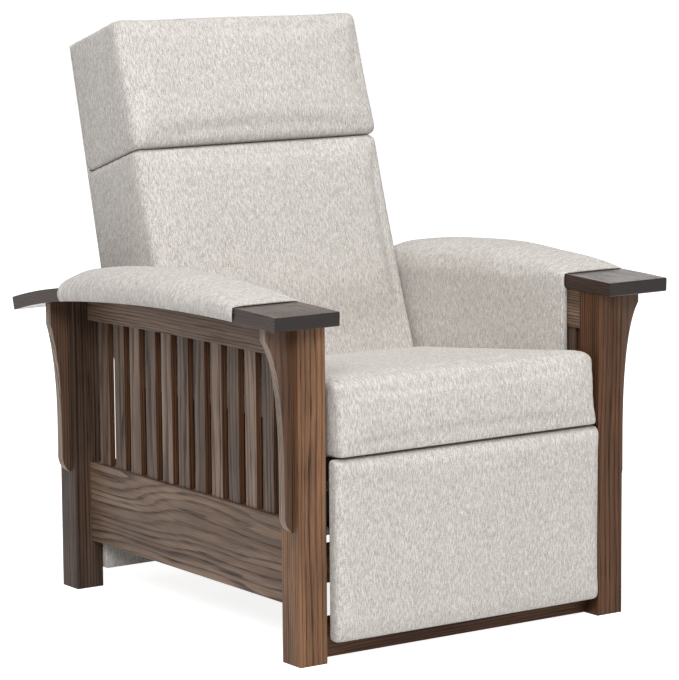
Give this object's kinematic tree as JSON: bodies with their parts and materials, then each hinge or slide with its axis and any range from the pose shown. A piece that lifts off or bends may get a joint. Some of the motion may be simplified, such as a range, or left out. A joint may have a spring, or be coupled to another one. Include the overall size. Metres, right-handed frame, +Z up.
{
  "type": "reclining armchair",
  "caption": "Push-back reclining armchair with slatted wooden sides, bowed padded arms, upholstered seat and split back, and a padded footrest on a folding linkage.",
  "frame": {"origin": "on the floor, below the middle of the chair's overall width and depth in its stored upright pose", "axes": "+Z up, -Y towards the front of the chair, +X to the right as seen from the front"},
  "size_m": [0.8688, 0.9376, 1.0796],
  "materials": {
    "stained_wood": "dark walnut stain, open grain, satin lacquer",
    "upholstery": "light warm grey heathered slub weave",
    "inner_wood": "plain sawn hardwood, unfinished",
    "webbing": "woven black webbing",
    "linkage_steel": "black painted flat steel",
    "fasteners": "zinc plated steel",
    "nylon": "natural nylon"
  },
  "bodies": {
    "chair_frame": {"arm_board_left": "stained_wood", "arm_board_right": "stained_wood", "arm_inner_panel_left": "upholstery", "arm_inner_panel_right": "upholstery", "arm_pad_left": "upholstery", "arm_pad_right": "upholstery", "front_corbel_left": "stained_wood", "front_corbel_right": "stained_wood", "front_cross_rail": "inner_wood", "front_post_left": "stained_wood", "front_post_right": "stained_wood", "front_stretcher": "stained_wood", "glide_track_left": "linkage_steel", "glide_track_right": "linkage_steel", "lower_side_rail_left": "stained_wood", "lower_side_rail_right": "stained_wood", "rear_corbel_left": "stained_wood", "rear_corbel_right": "stained_wood", "rear_cover_panel": "upholstery", "rear_cross_rail": "inner_wood", "rear_post_left": "stained_wood", "rear_post_right": "stained_wood", "rear_stretcher": "upholstery", "side_liners": "stained_wood", "side_slats_left": "stained_wood", "side_slats_right": "stained_wood", "track_screws": "fasteners", "upper_side_rail_left": "stained_wood", "upper_side_rail_right": "stained_wood"},
    "seat": {"seat_side_plate_left": "linkage_steel", "seat_side_plate_right": "linkage_steel", "seat_front_rail": "inner_wood", "seat_rear_rail": "inner_wood", "seat_side_rail_left": "inner_wood", "seat_side_rail_right": "inner_wood", "seat_webbing": "webbing", "seat_cushion": "upholstery", "glide_shoes": "nylon", "seat_pivot_pins": "fasteners"},
    "back": {"back_side_board_left": "inner_wood", "back_side_board_right": "inner_wood", "back_top_rail": "inner_wood", "back_bottom_rail": "inner_wood", "back_webbing": "webbing", "lumbar_cushion": "upholstery", "head_pillow": "upholstery", "back_rear_cover": "upholstery", "back_bracket_left": "linkage_steel", "back_bracket_right": "linkage_steel"},
    "lift_linkage": {"lift_links": "linkage_steel", "cross_tube": "linkage_steel", "lift_link_pins": "fasteners"},
    "reach_linkage": {"reach_links": "linkage_steel", "reach_link_pins": "fasteners"},
    "tilt_linkage": {"tilt_links": "linkage_steel"},
    "control_linkage": {"control_links": "linkage_steel"},
    "footrest": {"footrest_board": "inner_wood", "footrest_pad": "upholstery", "footrest_brackets": "linkage_steel", "footrest_bracket_pins": "fasteners"}
  },
  "joints": [
    {"name": "seat_glide", "type": "slide", "parent": "chair_frame", "child": "seat", "axis": [0, -1, 0], "range_m": [0, 0.06]},
    {"name": "back_recline", "type": "hinge", "parent": "seat", "child": "back", "pos_m": [0, 0.15374, 0.34], "axis": [-1, 0, 0], "range_deg": [0, 35]},
    {"name": "footrest_open", "type": "hinge", "parent": "seat", "child": "lift_linkage", "pos_m": [0, -0.33926, 0.328], "axis": [-1, 0, 0], "range_deg": [0, 85]},
    {"name": "reach_turn", "type": "hinge", "parent": "lift_linkage", "child": "reach_linkage", "pos_m": [0, -0.33926, 0.156], "axis": [1, 0, 0], "range_deg": [0, 132]},
    {"name": "tilt_turn", "type": "hinge", "parent": "lift_linkage", "child": "tilt_linkage", "pos_m": [0, -0.30826, 0.1389], "axis": [1, 0, 0], "range_deg": [0, 131.25]},
    {"name": "control_turn", "type": "hinge", "parent": "seat", "child": "control_linkage", "pos_m": [0, -0.29776, 0.328], "axis": [-1, 0, 0], "range_deg": [0, 81.06]},
    {"name": "footrest_tilt", "type": "hinge", "parent": "reach_linkage", "child": "footrest", "pos_m": [0, -0.39926, 0.292], "axis": [-1, 0, 0], "range_deg": [0, 135]}
  ],
  "couplings": [
    {"joint": "seat_glide", "follows": "back_recline", "m_per_rad": 0.098221},
    {"joint": "reach_turn", "follows": "footrest_open", "ratio": 1.5529},
    {"joint": "tilt_turn", "follows": "footrest_open", "ratio": 1.5441},
    {"joint": "control_turn", "follows": "footrest_open", "ratio": 0.95365},
    {"joint": "footrest_tilt", "follows": "footrest_open", "ratio": 1.5882}
  ]
}
